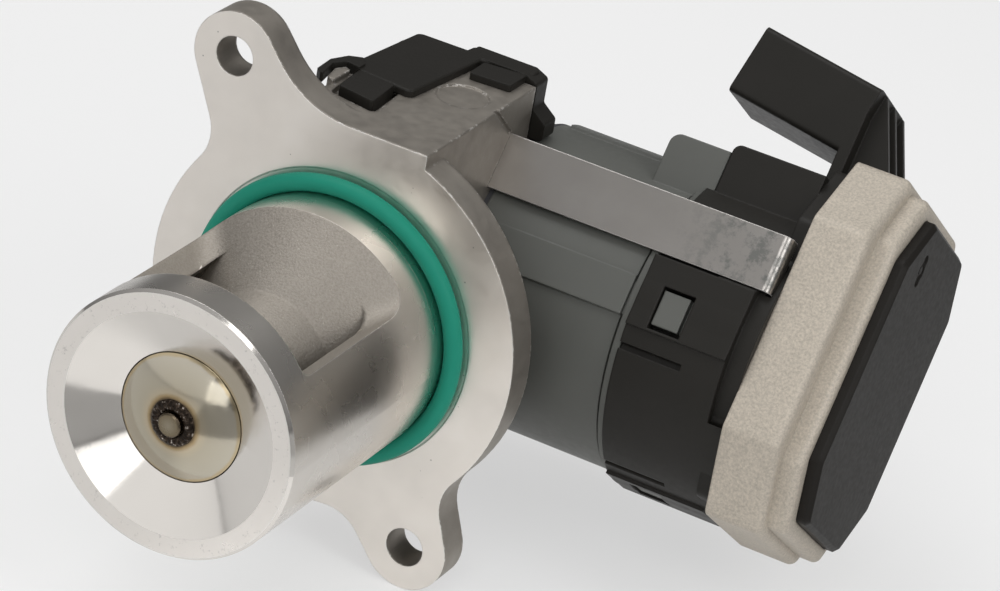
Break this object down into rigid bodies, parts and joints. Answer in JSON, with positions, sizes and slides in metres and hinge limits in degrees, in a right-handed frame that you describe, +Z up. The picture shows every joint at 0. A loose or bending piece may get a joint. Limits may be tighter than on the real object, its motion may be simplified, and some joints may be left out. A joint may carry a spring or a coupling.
{
  "type": "exhaust gas recirculation valve",
  "caption": "Flanged exhaust gas recirculation valve: a windowed barrel with a poppet, driven through a crank by a geared electric actuator with a plug.",
  "frame": {"origin": "centre of the flange's sealing face, on the valve axis", "axes": "-Y along the barrel into the duct, +X along the actuator towards its end cover, +Z up"},
  "size_m": [0.118, 0.1434, 0.0914],
  "materials": {
    "cast_alloy": "machined faces on a sand-cast body",
    "cover_alloy": "blasted die casting",
    "steel": "turned steel",
    "valve_steel": "heat-tinted stainless steel",
    "weld_steel": "oxidised weld",
    "strap_steel": "satin sheet steel",
    "grey_plastic": "fine moulded texture",
    "black_plastic": "moulded, slightly glossy",
    "seal_rubber": "smooth fluoro rubber",
    "gasket_fibre": "flat gasket",
    "bronze": "sintered bearing bush",
    "gear_plastic": "natural polyamide",
    "electrical_steel": "stacked laminations",
    "copper": "enamelled winding",
    "magnet": "sintered magnet",
    "board": "solder mask",
    "tin": "tinned blade"
  },
  "bodies": {
    "housing": {"valve_body": "cast_alloy", "stem_bush": "bronze", "stem_seal": "seal_rubber", "return_spring": "steel", "crank_bush": "bronze", "idler_pin": "steel", "motor_front_plate": "cover_alloy", "motor_can": "steel", "stator_stack": "electrical_steel", "stator_coils": "copper", "rotor_bearings": "steel", "housing_gasket": "gasket_fibre", "motor_housing": "grey_plastic", "connector_carrier": "black_plastic", "terminal_pins": "tin", "circuit_board": "board", "end_cover": "cover_alloy", "end_plate": "black_plastic", "cover_screws": "steel", "clamp_strap": "strap_steel", "flange_o_ring": "seal_rubber", "top_cap": "black_plastic"},
    "valve": {"valve_disc": "valve_steel", "valve_stem": "valve_steel", "stem_weld": "weld_steel", "spring_retainer": "steel", "yoke": "steel"},
    "crank": {"crankshaft": "steel", "output_gear": "steel"},
    "roller": {"crank_roller": "steel"},
    "idler": {"idler_gear": "gear_plastic"},
    "rotor": {"motor_rotor": "magnet", "motor_pinion": "steel", "sensor_magnet": "magnet"}
  },
  "joints": [
    {"name": "rotor_spin", "type": "hinge", "parent": "housing", "child": "rotor", "pos_m": [0.04, 0.0437, -0.0019], "axis": [1, 0, 0], "range_deg": [0, 562.5]},
    {"name": "idler_spin", "type": "hinge", "parent": "housing", "child": "idler", "pos_m": [0.02, 0.0518, 0.00909], "axis": [1, 0, 0], "range_deg": [-225, 0]},
    {"name": "crank_turn", "type": "hinge", "parent": "housing", "child": "crank", "pos_m": [0.01, 0.0437, -0.0019], "axis": [1, 0, 0], "range_deg": [0, 90]},
    {"name": "valve_lift", "type": "slide", "parent": "housing", "child": "valve", "axis": [0, -1, 0], "range_m": [0, 0.00707], "stiffness_N_per_m": 2500, "springref_m": -0.01, "deforming": ["return_spring"]},
    {"name": "roller_spin", "type": "hinge", "parent": "crank", "child": "roller", "pos_m": [0, 0.04724, 0.00164], "axis": [1, 0, 0], "continuous": true}
  ],
  "couplings": [
    {"joint": "rotor_spin", "follows": "valve_lift", "rad_per_m": 1388.4},
    {"joint": "idler_spin", "follows": "valve_lift", "rad_per_m": -555.36},
    {"joint": "crank_turn", "follows": "valve_lift", "rad_per_m": 222.14}
  ]
}
